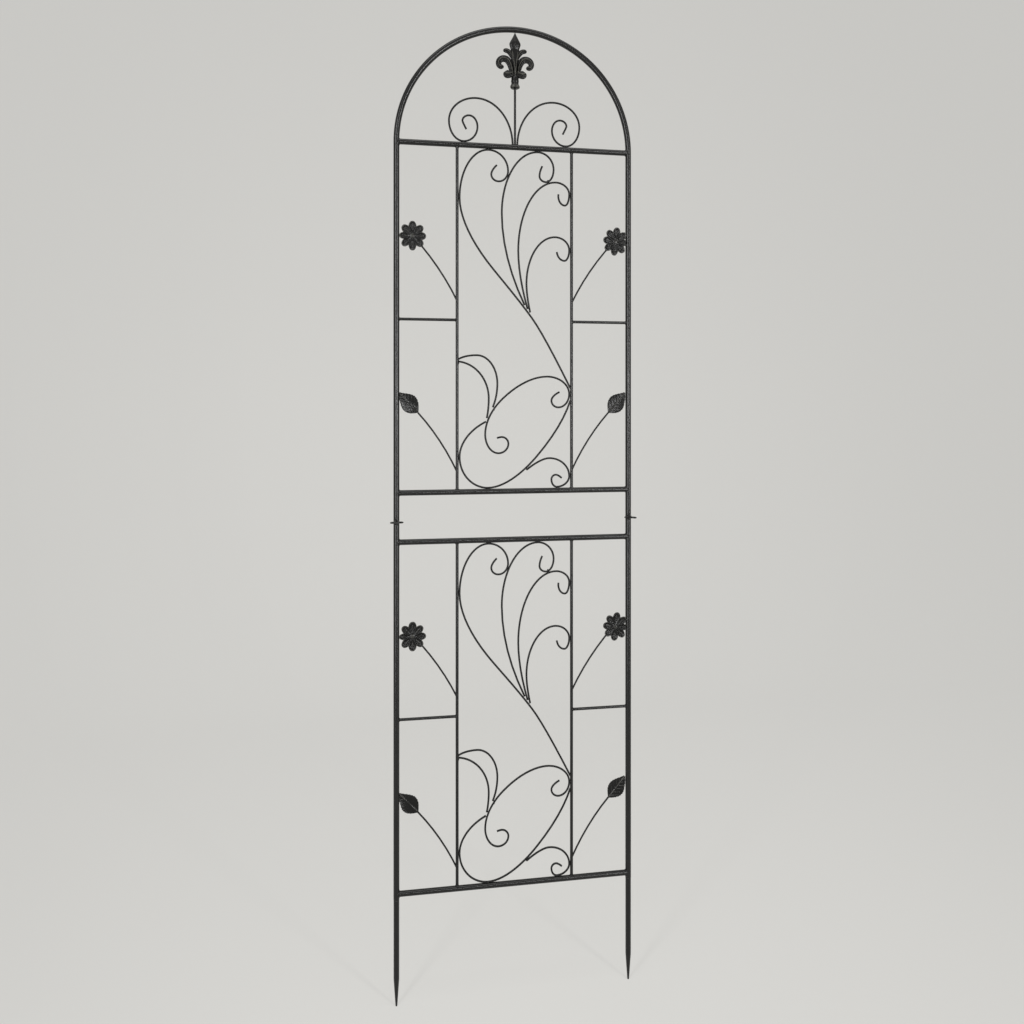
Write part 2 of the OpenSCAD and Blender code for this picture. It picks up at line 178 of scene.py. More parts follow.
def addPiece(name, mesh, material, body, replaced=()):
    piece = newObject(name, mesh)
    mesh.materials.clear()
    mesh.materials.append(material)
    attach(piece, body)
    if replaced:
        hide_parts(*replaced)


def dress(node, mesh, material, body):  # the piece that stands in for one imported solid
    addPiece(inCamel(node), mesh, material, body, [node])


def skinOf(mesh):
    points = np.empty(len(mesh.vertices) * 3)
    mesh.vertices.foreach_get("co", points)
    rub = np.zeros(len(mesh.vertices))
    if "rub" in mesh.attributes:
        mesh.attributes["rub"].data.foreach_get("value", rub)
    return points.reshape(-1, 3), [list(f.vertices) for f in mesh.polygons], rub


def joined(parts):  # several skins made one
    points, faces, rub, start = [], [], [], 0
    for p, f, r in parts:
        points.append(np.asarray(p))
        faces += [[i + start for i in face] for face in f]
        rub.append(np.zeros(len(p)) if r is None else np.asarray(r))
        start += len(p)
    return np.concatenate(points), faces, np.concatenate(rub)


def outward(parts):  # every closed skin turned to face outwards
    made = []
    for points, faces, rub in parts:
        mesh = plainMesh("closedPart", points, faces)
        if volumeOf(mesh) < 0:
            faces = [f[::-1] for f in faces]
        made.append((points, faces, rub))
        bpy.data.meshes.remove(mesh)
    return made


def rowsOf(x, y, z):  # points from their coordinates, any of which may be one number
    return np.stack(np.broadcast_arrays(x, y, z), 1)


def moved(skin, x, y, z):
    return skin[0] + np.array([x, y, z]), *skin[1:]


def stackRings(rings, closed=False, rub=None):  # rings of equal length made a skin
    n, m = len(rings), len(rings[0])
    faces = []
    for i in range(n if closed else n - 1):
        here, there = i * m, (i + 1) % n * m
        for k in range(m):
            after = (k + 1) % m
            faces.append((here + k, here + after, there + after, there + k))
    if not closed:
        faces.append(tuple(range(m))[::-1])
        faces.append(tuple((n - 1) * m + k for k in range(m)))
    return np.concatenate(rings), faces, rub


def turned(profile, count, axis="z"):  # a turned part from (radius, height) pairs, closed at both ends
    a = around(count)
    c, s = np.cos(a), np.sin(a)
    if axis == "z":
        return stackRings([rowsOf(r * c, r * s, h) for r, h in profile])
    return stackRings([rowsOf(r * c, -h, r * s) for r, h in profile])


def coatMaterial(name, look):
    material = bpy.data.materials.new(name)
    tree = clearTree(material)
    place = addNode(tree, "ShaderNodeTexCoord", give="Object")
    dust = addNode(tree, "ShaderNodeTexNoise",  # a faint change of tone where dust has settled
                   {"Vector": place, "Scale": 1000 / look["dustMm"], "Detail": 5.0, "Roughness": 0.62})
    mottle = addNode(tree, "ShaderNodeTexNoise",  # gloss, the painted ridge highlight and the wing-tip wear come and go over four peels' width
                     {"Vector": place, "Scale": 250 / look["peelMm"], "Detail": 3.0})
    share = addNode(tree, "ShaderNodeMapRange", {"Value": dust, "From Min": 0.40, "From Max": 0.68})
    colour = addNode(tree, "ShaderNodeMix", {0: share, 6: fromHex(look["dark"]), 7: fromHex(look["light"])},
                     2, data_type="RGBA")
    if "rubbed" in look:  # a painted highlight greys the raised ridges, and on the wing screws wear greys the wing tips
        ridge = addNode(tree, "ShaderNodeAttribute", give="Fac", attribute_name="rub")
        highlightAndWearMask = addNode(tree, "ShaderNodeMath", {0: ridge, 1: mottle}, operation="MULTIPLY")
        highlightAndWearShare = addNode(tree, "ShaderNodeMapRange", {"Value": highlightAndWearMask, "From Min": 0.12, "From Max": 0.60})
        colour = addNode(tree, "ShaderNodeMix", {0: highlightAndWearShare, 6: colour, 7: fromHex(look["rubbed"])},
                         2, data_type="RGBA")
    gloss = addNode(tree, "ShaderNodeMapRange",
                    {"Value": mottle, "From Min": 0.3, "From Max": 0.7,
                     "To Min": look["rough"] - look["spread"], "To Max": look["rough"] + look["spread"]})
    orange = addNode(tree, "ShaderNodeTexNoise",  # the orange peel that the powder bakes to
                     {"Vector": place, "Scale": 1000 / look["peelMm"], "Detail": 2.5, "Roughness": 0.5})
    bump = addNode(tree, "ShaderNodeBump",
                   {"Height": orange, "Strength": look["peel"], "Distance": 0.35 * mm})
    shader = addNode(tree, "ShaderNodeBsdfPrincipled",
                     {"Base Color": colour, "Roughness": gloss, "Normal": bump, "IOR": look["ior"]})
    addNode(tree, "ShaderNodeOutputMaterial", {"Surface": shader})
    return material


satin = {"dark": "#070707", "light": "#0d0d0c"}
deep = {"dark": "#050505", "light": "#0a0a09"}
# Polyester powder, sprayed and baked on tube: satin black, so smooth that the highlights run
# unbroken from end to end
tubeCoat = coatMaterial("satinPowderCoatOnTube", {
    **satin, "rough": 0.25, "spread": 0.01, "peel": 0.03, "peelMm": 3.2, "dustMm": 45, "ior": 1.47})
# The same coat on solid bar, a little thicker and duller where it runs round a small radius
barCoat = coatMaterial("satinPowderCoatOnBar", {
    **satin, "rough": 0.30, "spread": 0.01, "peel": 0.02, "peelMm": 2.4, "dustMm": 45, "ior": 1.45})
# The same coat on drawn wire: the bends hold it a little heavier, with a finer peel and less shine
wireCoat = coatMaterial("satinPowderCoatOnWire", {
    **deep, "rough": 0.42, "spread": 0.04, "peel": 0.08, "peelMm": 1.8, "dustMm": 40, "ior": 1.36})
# Powder coat on pressed sheet: deep black in the hollows, with a painted highlight greying the ridges
pressedCoat = coatMaterial("powderCoatOnPressedSheet", {
    **deep, "rough": 0.27, "spread": 0.04, "peel": 0.08, "peelMm": 1.5, "dustMm": 22, "ior": 1.37,
    "rubbed": "#5e5d58"})
# Powder coat on a sand casting: grainy all over, with a painted highlight greying each raised rib
castCoat = coatMaterial("powderCoatOnSandCasting", {
    **deep, "rough": 0.30, "spread": 0.05, "peel": 0.20, "peelMm": 1.0, "dustMm": 18, "ior": 1.38,
    "rubbed": "#686761"})
# Powder coat on MIG weld: lumpy, so it glints in small spots
weldCoat = coatMaterial("powderCoatOnWeld", {
    **satin, "rough": 0.34, "spread": 0.06, "peel": 0.45, "peelMm": 1.1, "dustMm": 12, "ior": 1.45})
# Black coated wing screws: a thin dark film, dull, with a trace of wear at the wing tips
screwPlate = coatMaterial("blackCoatedScrew", {
    **deep, "rough": 0.30, "spread": 0.04, "peel": 0.15, "peelMm": 0.8, "dustMm": 9, "ior": 1.38,
    "rubbed": "#262624"})
# Powder coat on the stakes, duller from being pushed into soil
stakeCoat = coatMaterial("satinPowderCoatOnStake", {
    **satin, "rough": 0.30, "spread": 0.03, "peel": 0.07, "peelMm": 2.6, "dustMm": 30, "ior": 1.45})
print("materials made")


tubes = {"sides": 56, "chamfer": 0.35, "wall": 1.0, "spigotGap": 0.08, "tenonGap": 0.02, "boreDepth": 80,
         "spigotBore": 45, "copeSink": 0.45, "postSteps": 60, "archSteps": 150, "railSteps": 70,
         "capSteps": (0.02, 0.3, 0.6, 0.85)}
postBore = tubeRadius - tubes["wall"] * mm
up = np.array([0, 0, 1.0])


def ringAt(centre, tangent, radius):  # a ring square to a direction that lies in the XZ plane
    wide = np.array([tangent[2], 0, -tangent[0]])
    a = around(tubes["sides"])[:, None]
    return np.asarray(centre) + radius * (np.cos(a) * wide + np.sin(a) * np.array([0, 1.0, 0]))


def lowerPost(sideName, side):  # up the outside and back down the bore
    node, c = f"lower_{sideName}_post", tubes["chamfer"] * mm
    levels = [(shoulderZ, tubeRadius - c), (shoulderZ + c, tubeRadius)]
    levels += [(z, tubeRadius) for z in np.linspace(shoulderZ + 4 * c, jointZ - 4 * c, tubes["postSteps"])]
    levels += [(jointZ - c, tubeRadius), (jointZ, tubeRadius - c), (jointZ, postBore + 0.1 * mm),
               (jointZ - 0.3 * mm, postBore), (jointZ - tubes["boreDepth"] * mm, postBore),
               (shoulderZ + 0.5 * mm, postBore), (shoulderZ, postBore + 0.2 * mm)]
    skin = stackRings([ringAt((side * postX, 0, z), up, r) for z, r in levels], closed=True)
    dress(node, newMesh(node, skin), tubeCoat, "lower_panel")


def archFrame():
    foot, crown = (corner[2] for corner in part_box("arch_frame"))
    springZ = crown - postX - tubeRadius
    spigot = postBore - tubes["spigotGap"] * mm
    hole = spigot - tubes["wall"] * mm
    c = tubes["chamfer"] * mm
    leg = [(foot + tubes["spigotBore"] * mm, hole), (foot + 0.4 * mm, hole), (foot, hole + 0.3 * mm),
           (foot, spigot - 0.6 * mm), (foot + 1.2 * mm, spigot), (jointZ - 0.01 * mm, spigot),
           (jointZ, spigot + 0.1 * mm), (jointZ, tubeRadius - c), (jointZ + c, tubeRadius)]
    leg += [(z, tubeRadius) for z in np.linspace(jointZ + 5 * c, springZ, tubes["postSteps"])]
    rings = [ringAt((-postX, 0, z), up, r) for z, r in leg]
    for a in np.linspace(0, math.pi, tubes["archSteps"])[1:-1]:
        centre = (-postX * math.cos(a), 0, springZ + postX * math.sin(a))
        rings.append(ringAt(centre, (math.sin(a), 0, math.cos(a)), tubeRadius))
    rings += [ringAt((postX, 0, z), -up, r) for z, r in leg[::-1]]
    dress("arch_frame", newMesh("archFrame", stackRings(rings)), tubeCoat, "upper_panel")
    return springZ


def copedRail(node, z, body):  # both ends follow the post's wall, as a coped tube does
    seat = tubeRadius - tubes["copeSink"] * mm
    a = around(tubes["sides"])

    def endX(r):
        return postX - np.sqrt(np.maximum(seat ** 2 - (r * np.cos(a)) ** 2, (0.5 * mm) ** 2))

    def ring(r, x):
        return rowsOf(x, r * np.cos(a), z + r * np.sin(a))

    caps = [railRadius * k for k in tubes["capSteps"]]
    rings = [ring(r, -endX(r)) for r in caps]
    rings += [ring(railRadius, endX(railRadius) * f) for f in np.linspace(-1, 1, tubes["railSteps"])]
    rings += [ring(r, endX(r)) for r in caps[::-1]]
    dress(node, newMesh(inCamel(node), stackRings(rings)), tubeCoat, body)


for sideName, side in sides:
    lowerPost(sideName, side)
springZ = archFrame()
for panel in panels[::-1]:
    copedRail(panel + "_top_rail", panelHead[panel], bodyOf[panel])
    copedRail(panel + "_bottom_rail", panelFoot[panel], bodyOf[panel])
print("tubes made")


def sweepTree():  # sweeps a round section along rows of points, each with its own radius
    tree, given = newGroup("sweptBar", {"Line": "Geometry", "Sides": "Int", "Finish": "Material"}, "Bar")
    line = addNode(tree, "GeometryNodeMeshToCurve", {"Mesh": given["Line"]})
    section = addNode(tree, "GeometryNodeCurvePrimitiveCircle", {"Resolution": given["Sides"], "Radius": 1.0})
    radius = addNode(tree, "GeometryNodeInputNamedAttribute", {"Name": "barRadius"}, data_type="FLOAT")
    swept = addNode(tree, "GeometryNodeCurveToMesh",
                    {"Curve": line, "Profile Curve": section, "Scale": radius, "Fill Caps": True})
    real = addNode(tree, "GeometryNodeRealizeInstances", {"Geometry": swept})
    return closeGroup(tree, "Bar", real, given["Finish"])


def runTree(name, tree, mesh, values):  # evaluates a tree on a mesh and returns the plain mesh
    holder = newObject(name + "Line", mesh)
    modifier = holder.modifiers.new(name, "NODES")
    modifier.node_group = tree
    for item in tree.interface.items_tree:
        if item.item_type == "SOCKET" and item.in_out == "INPUT" and item.name in values:
            modifier[item.identifier] = values[item.name]
    result = bpy.data.meshes.new_from_object(holder.evaluated_get(bpy.context.evaluated_depsgraph_get()))
    holder.modifiers.remove(modifier)
    bpy.data.objects.remove(holder)
    result.name = name
    return result


sweptBar = sweepTree()


def sweep(name, runs, count, material):  # runs are (points, radii, closed)
    points, edges, radii = [], [], []
    for line, r, closed in runs:
        start, n = len(points), len(line)
        points += [tuple(p) for p in line]
        edges += [(start + i, start + i + 1) for i in range(n - 1)]
        if closed:
            edges.append((start + n - 1, start))
        radii += list(np.broadcast_to(r, n))
    mesh = plainMesh(name + "Line", points, [], edges)
    mesh.attributes.new("barRadius", "FLOAT", "POINT").data.foreach_set("value", radii)
    return finishMesh(runTree(name, sweptBar, mesh, {"Sides": count, "Finish": material}), 38)


def cutEnds(line, radius, chamfer=0.35 * mm):  # a bar with a small chamfer at both cut ends
    line = [np.asarray(p, float) for p in line]

    def inset(p, q):
        return p + (q - p) / np.linalg.norm(q - p) * chamfer

    line = [line[0], inset(line[0], line[1])] + line[1:-1] + [inset(line[-1], line[-2]), line[-1]]
    radii = np.full(len(line), radius)
    radii[0] = radii[-1] = radius - chamfer
    return line, radii


bars = {"sides": 28, "step": 12, "postSink": 0.9, "rodSink": 1.0}


def straightBar(node, start, end, radius, body):
    start, end = np.array(start, float), np.array(end, float)
    n = max(2, int(np.linalg.norm(end - start) / (bars["step"] * mm)))
    line, radii = cutEnds([start + (end - start) * k / n for k in range(n + 1)], radius)
    mesh = sweep(inCamel(node), [(line, radii, False)], bars["sides"], barCoat)
    dress(node, mesh, barCoat, body)


for panel in panels:
    for sideName, side in sides:
        x, inner = side * uprightX, side * (postX - tubeRadius + bars["postSink"] * mm)
        straightBar(f"{panel}_{sideName}_upright", (x, 0, panelFoot[panel]), (x, 0, panelHead[panel]),
                    uprightRadius, bodyOf[panel])
        node = f"{panel}_{sideName}_crossbar"
        z = middle(node).z
        straightBar(node, (x, 0, z), (inner, 0, z), crossbarRadius, bodyOf[panel])
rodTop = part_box("finial_rod")[1][2] + bars["rodSink"] * mm
straightBar("finial_rod", (0, 0, springZ), (0, 0, rodTop), rodRadius, "upper_panel")


scrollwork = {"sides": 22, "bendStep": 4.0, "weldBite": 0.12}

# Way points in percent of the bay between the uprights and the rails: across, up, heading
scrollRoutes = {
    "heart_scroll": [(33.5, 95.6, 224), (28.5, 92.8, 270), (35, 90.8, 0), (43.7, 94, 90), (26, 100, 180),
                     (0, 85.5, 270), (30.1, 64.8, 310), (65.6, 50.4, 306.5), (101, 29.6, 297)],
    "lobe_scroll": [(101, 25.8, 252), (70, 9.2, 229), (25.5, 0, 180), (0, 9.2, 90), (23.2, 19.5, 27)],
    "tall_frond": [(58.83, 54.24, 116), (38, 81.4, 90), (71, 100, 0), (85.5, 95, 270), (78.5, 91.2, 180),
                   (72.5, 92.9, 90), (75, 95.9, 64)],
    "middle_frond": [(61.54, 53.09, 106), (53, 70.4, 90), (87.5, 91.2, 0), (100, 87.8, 270), (96, 84.4, 180),
                     (90, 87.7, 82)],
    "short_frond": [(63.88, 52.09, 102), (60.5, 60.6, 90), (87, 74.8, 0), (100, 71, 270), (95.5, 67.8, 180),
                    (88.5, 70.4, 96)],
    "s_scroll": [(91, 28.4, 205), (83.5, 25.8, 270), (90, 23.8, 0), (100, 27.8, 90), (79.5, 33, 180),
                 (39.5, 26.6, 223), (23, 15.8, 270), (35, 10.2, 0), (44, 13, 90), (38, 15, 180),
                 (33.6, 14.7, 198)],
    "outer_crescent": [(-1, 38, 30), (15.5, 39.2, 0), (34, 30.8, 270), (29.8, 23.8, 247)],
    "inner_crescent": [(-1, 37.3, 354), (26.2, 26.4, 270), (24.42, 20.6, 258)],
    "tail_scroll": [(60.4, 5.15, 38), (81.5, 8.6, 0), (100, 3.2, 270), (88.5, 0, 180), (83.5, 2.2, 90),
                    (87.5, 3.6, 0), (93, 2.6, 316)],
}
# The same for the scrolls inside the arch, in percent of their own width and height
topRoute = [(0, -4, 90), (57.5, 100, 0), (100, 45.5, 270), (77.5, 0, 180), (55.5, 34.5, 90), (68.5, 59.5, 0),
            (79, 46.5, 270), (73, 27.5, 242)]


def heading(degrees):
    return np.array([math.cos(math.radians(degrees)), math.sin(math.radians(degrees))])


def bend(a, b):  # an even bend from one way point to the next, headings in degrees
    turn = (b[2] - a[2] + 540) % 360 - 180
    start, end = np.array(a[:2]), np.array(b[:2])
    d, out, home = end - start, heading(a[2]), heading(b[2])
    if abs(turn) < 4:
        first = last = np.linalg.norm(d) / 3
    else:
        t = math.radians(abs(turn))
        k = 4 / 3 * math.tan(t / 4) / math.tan(t / 2)
        s = math.sin(math.radians(turn))
        first = k * (d[0] * home[1] - d[1] * home[0]) / s
        last = k * (out[0] * d[1] - out[1] * d[0]) / s
    p, q = start + first * out, end - last * home
    f = np.linspace(0, 1, max(6, int(abs(turn) / scrollwork["bendStep"])) + 1)[1:, None]
    g = 1 - f
    return g ** 3 * start + 3 * f * g * g * p + 3 * f * f * g * q + f ** 3 * end


def centreLine(route):
    flat = np.concatenate([[route[0][:2]]] + [bend(a, b) for a, b in zip(route, route[1:])])
    return rowsOf(flat[:, 0], 0, flat[:, 1])


def inBay(route, panel):
    bite = scrollwork["weldBite"] * mm
    reachX = uprightX - uprightRadius - wireRadius + bite
    reachZ = railRadius + wireRadius - bite
    rise = panelHeight - 2 * reachZ
    return [((x / 50 - 1) * reachX, panelFoot[panel] + reachZ + z / 100 * rise, h) for x, z, h in route]


def bentWire(node, line, radius, body):
    line, radii = cutEnds(line, radius)
    mesh = sweep(inCamel(node), [(line, radii, False)], scrollwork["sides"], wireCoat)
    dress(node, mesh, wireCoat, body)


for panel in panels:
    for name, route in scrollRoutes.items():
        bentWire(f"{panel}_{name}", centreLine(inBay(route, panel)), wireRadius, bodyOf[panel])

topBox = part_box("right_top_scroll")
topFoot = panelHead["upper"] + railRadius + wireRadius - scrollwork["weldBite"] * mm
topWidth = topBox[1][0] - topBox[0][0] - 2 * wireRadius
topHeight = topBox[1][2] - wireRadius - topFoot
topLine = centreLine([(topBox[0][0] + wireRadius + x / 100 * topWidth, topFoot + z / 100 * topHeight, h)
                      for x, z, h in topRoute])
for sideName, side in sides:
    bentWire(sideName + "_top_scroll", topLine * np.array([side, 1, 1]), wireRadius, "upper_panel")
print("scrollwork made")


stakes = {"sides": 48, "tipRadius": 1.8, "pointLength": 56, "shoulderBevel": 0.5}


def stake(node, side):
    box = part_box(node)
    r, foot, top = sizeOf(node).x / 2, box[0][2], box[1][2]
    tip, b, point = (stakes[key] * mm for key in ("tipRadius", "shoulderBevel", "pointLength"))
    tenon = postBore - tubes["tenonGap"] * mm
    profile = [(tip * 0.3, foot), (tip * 0.75, foot + 0.25 * mm), (tip, foot + 1.1 * mm)]
    profile += [(tip + (r - tip) * f, foot + point * f) for f in np.linspace(0.04, 0.985, 26)]
    profile += [(r - 0.02 * mm, foot + point * 1.012)]
    profile += [(r, z) for z in np.linspace(foot + point * 1.05, shoulderZ - 2 * b, 22)]
    profile += [(r, shoulderZ - b), (r - 0.6 * b, shoulderZ - 0.1 * mm), (tenon, shoulderZ),
                (tenon, top - 1 * mm), (tenon - 0.8 * mm, top)]
    skin = moved(turned(profile, stakes["sides"]), side * postX, 0, 0)
    dress(node, newMesh(node, skin), stakeCoat, "lower_panel")


for sideName, side in sides:
    stake(sideName + "_stake", side)
print("stakes made")


screws = {"bossRadius": 5.0, "bossSides": 48, "bossSink": 0.15, "bore": 2.55, "bevel": 0.4, "shaft": 2.5,
          "pitch": 0.8, "thread": 0.4, "threadSides": 24, "threadSteps": 40, "hub": 4.0, "hubTop": 3.2,
          "hubHeight": 6.0, "hubSink": 0.2, "hubSides": 40,
          "wingFoot": (2.4, 3.0), "wingEnd": (10.5, 6.8), "wingRoot": 2.6, "wingWaist": 2.0, "wingTip": 3.0,
          "wingThick": 3.8, "wingSteps": (0.02, 0.3, 0.55, 0.72, 0.84, 0.92, 0.97, 0.993),
          "lean": {"left": 1.0, "right": -3.5}}
screwZ = middle("left_screw_boss").z
bossFace = low("left_screw_boss").y
screwSeat = bossFace - screws["hubSink"] * mm


def boss(node, side):  # a short collar saddled on the post
    r, bore, b = screws["bossRadius"] * mm, screws["bore"] * mm, screws["bevel"] * mm
    a = around(screws["bossSides"])

    def ring(radius, y):
        return rowsOf(side * postX + radius * np.cos(a), y, screwZ + radius * np.sin(a))

    def onPost(radius):
        return ring(radius, -np.sqrt(tubeRadius ** 2 - (radius * np.cos(a)) ** 2) + screws["bossSink"] * mm)

    rings = [onPost(r), ring(r, bossFace + b), ring(r - 0.3 * b, bossFace + 0.3 * b), ring(r - b, bossFace),
             ring(bore + b, bossFace), ring(bore, bossFace + b), onPost(bore)]
    dress(node, newMesh(node, stackRings(rings, closed=True)), castCoat, "lower_panel")


def cushion(outline, centre, thick, steps, edge=4.0):  # a flat part with a rounded rim, from its XZ outline
    def level(k, y):
        flat = centre + (outline - centre) * k
        return rowsOf(flat[:, 0], y, flat[:, 1])

    halves = [(k, thick / 2 * (1 - k ** edge) ** (1 / 2.2)) for k in steps]
    rings = [level(k, -h) for k, h in halves] + [level(1.0, 0.0)] + [level(k, h) for k, h in halves[::-1]]
    return stackRings(rings)


def screwHub():
    hub, top, rise = screws["hub"], screws["hubTop"], screws["hubHeight"]
    profile = [(0.4, 0.0), (hub - 0.5, 0.0), (hub - 0.1, 0.15), (hub, 0.6)]
    profile += [(hub + (top - hub) * f + 0.18 * math.sin(math.pi * f), 0.6 + (rise - 1.5) * f)
                for f in np.linspace(0.1, 1, 8)]
    profile += [(top - 0.15, rise - 0.4), (top - 0.6, rise), (top - 1.2, rise - 0.1), (top - 1.7, rise - 0.5),
                (0.3, rise - 0.7)]
    skin = turned([(r * mm, h * mm) for r, h in profile], screws["hubSides"], "y")
    return moved(skin, 0, screwSeat, 0)


def screwThread(tip):  # a fine thread down the shaft
    a = around(screws["threadSides"])
    rings = []
    for y in np.linspace(screwSeat + 1 * mm, tip, screws["threadSteps"]):
        wave = np.abs(((y / mm / screws["pitch"] + a / (2 * np.pi)) % 1) - 0.5) * 2
        r = (screws["shaft"] - screws["thread"] * wave) * mm
        if y > tip - 0.5 * mm:
            r = np.minimum(r, (screws["shaft"] - 0.5) * mm)
        rings.append(rowsOf(r * np.cos(a), y, r * np.sin(a)))
    return stackRings(rings)


def screwWings():
    root, waist, end = screws["wingRoot"], screws["wingWaist"], screws["wingTip"]
    start, stop = np.array(screws["wingFoot"]), np.array(screws["wingEnd"])
    along = (stop - start) / np.linalg.norm(stop - start)
    out = np.array([-along[1], along[0]])
    f = np.linspace(0, 1, 15)
    half = root + (waist - root) * np.sin(np.pi * np.minimum(f, 0.55) / 1.1)
    half = (half + (end - waist) * np.clip((f - 0.45) / 0.55, 0, 1) ** 1.8)[:, None]
    spine = start + (stop - start) * f[:, None]
    turn = np.linspace(math.pi / 2, -math.pi / 2, 15)[1:-1, None]
    tip = stop + end * (np.cos(turn) * along + np.sin(turn) * out)
    outline = np.concatenate([spine + out * half, tip, (spine - out * half)[::-1]])
    points, faces, _ = cushion(outline * mm, spine[8] * mm, screws["wingThick"] * mm, screws["wingSteps"])
    x, y, z = points.T
    rub = np.clip((np.abs(x) / mm - 8) / 5, 0, 1)
    return [(rowsOf(way * x, screwSeat - z, y), faces, rub) for way in (1, -1)]  # laid edge on, to the front


def wingScrew(node, side, lean):
    points, faces, rub = joined(outward([screwHub(), screwThread(high(node).y)] + screwWings()))
    x, y, z = points.T
    c, s = heading(lean)
    points = rowsOf(x * c - z * s + side * postX, y, x * s + z * c + screwZ)
    dress(node, newMesh(node, (points, faces, rub), 42), screwPlate, node)


for sideName, side in sides:
    boss(sideName + "_screw_boss", side)
    wingScrew(sideName + "_wing_screw", side, screws["lean"][sideName])
print("screws made")


# Stems run from an upright to the flower or leaf: foot height and the heading at the top
stems = {"flower": {"foot": 392, "heading": 47}, "leaf": {"foot": 41, "heading": 48}, "extraTurn": 17}


def stemLine(panel, sideName, side, kind):
    box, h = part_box(f"{panel}_{sideName}_{kind}_stem"), stems[kind]["heading"]
    slope = math.radians(h)
    topX = (box[1][0] if side > 0 else -box[0][0]) - stemRadius * math.sin(slope)
    topZ = box[1][2] - stemRadius * math.cos(slope)
    foot = (uprightX, panelFoot[panel] + stems[kind]["foot"] * mm, h + stems["extraTurn"])
    return centreLine([foot, (topX, topZ, h)]) * np.array([side, 1, 1])


flower = {"petals": 8, "width": 27.5, "height": 30.0, "root": 3.0, "split": 19.4, "tip": 30.0, "thick": 0.9,
          "heart": 18.6, "hollow": (0.45, 0.87), "rim": 2.1, "rib": 1.0, "ribWidth": 0.8, "spoon": 1.3,
          "uneven": 0.045, "tilt": 0.05, "pinchWidth": 0.14, "pinchLength": 0.02, "edgePoints": 17,
          "seed": {"lower": 8, "upper": 3}, "centre": 7.4, "centreSides": 48, "dome": 2.5, "back": -1.7,
          "trim": 0.6, "turn": {"left": 0.0, "right": 7.0}, "lift": {"left": -1.0, "right": 1.0},
          "shift": {"left": 0.7, "right": 3.9}}
trimX = postX - tubeRadius + flower["trim"] * mm  # what meets a post is trimmed to its wall


def petalOutline(count):  # a wedge that fills its share of the flower, then a round end
    slope = math.tan(math.pi / flower["petals"])
    wedge = np.linspace(flower["root"], flower["split"], count)
    turn = np.linspace(0, math.pi / 2, count)[1:]
    half = flower["split"] * slope * np.cos(turn) ** 0.8 * (1 - 0.10 * np.sin(turn))
    x = np.concatenate([wedge, flower["split"] + (flower["tip"] - flower["split"]) * np.sin(turn)])
    y = np.concatenate([wedge * slope * np.interp(wedge, (3, 16, 20), (1.06, 1.05, 1.0)), half])
    y[-1] = 0
    return np.concatenate([np.stack([x, y], 1), np.stack([x, -y], 1)[-2::-1]])


def petalMesh():  # one petal along +X, facing -Y: from its hollow out to the raised rim, and back underneath
    outline, heart = petalOutline(flower["edgePoints"]), np.array([flower["heart"], 0.0])
    tip, root, hollow = flower["tip"], flower["root"], flower["hollow"]
    rings, rub = [], []

    def raised(k, reach):  # it rises towards its tip, and from the hollow to the rim
        flat = heart + (outline - heart) * reach
        spoon = flower["spoon"] * ((flat[:, 0] - root) / (tip - root)) ** 2
        return flat[:, 0], flat[:, 1], spoon, flower["rim"] * easeBetween(*hollow, k)

    for k in (0.03, 0.14, 0.26, 0.38, 0.5, 0.6, 0.69, 0.76, 0.81, 0.85, 0.89, 0.92, 0.95, 0.98, 1.0):
        x, z, spoon, rim = raised(k, k)
        if k > hollow[1]:
            rim = rim * math.sqrt(max(1 - ((k - hollow[1]) / 0.15) ** 2, 0.04))
        rib = np.exp(-(z / flower["ribWidth"]) ** 2) * easeBetween(0.95, 0.6, k)
        rib = rib * easeBetween(tip - 4, tip - 8, x)
        rings.append(rowsOf(x, -(flower["thick"] + spoon + rim + flower["rib"] * rib), z))
        outer = easeBetween(14, 21, x)  # the painted rim highlight fades out towards the root, whose sides lie in shade between the neighbouring petals
        # a painted highlight along the rim near the tip and along the rib
        rub.append(np.clip(outer * np.exp(-((k - 0.88) / 0.05) ** 2) + 0.6 * rib, 0, 1))
    for k in (1.0, 0.96, 0.88, 0.73, 0.5, 0.25, 0.03):
        x, z, spoon, rim = raised(k, k * 0.995)
        rings.append(rowsOf(x, -0.8 * (spoon + rim), z))
        rub.append(np.zeros(len(outline)))
    points, faces, rub = stackRings(rings, rub=np.concatenate(rub))
    return newMesh("petal", (points * mm, faces, rub), 60)


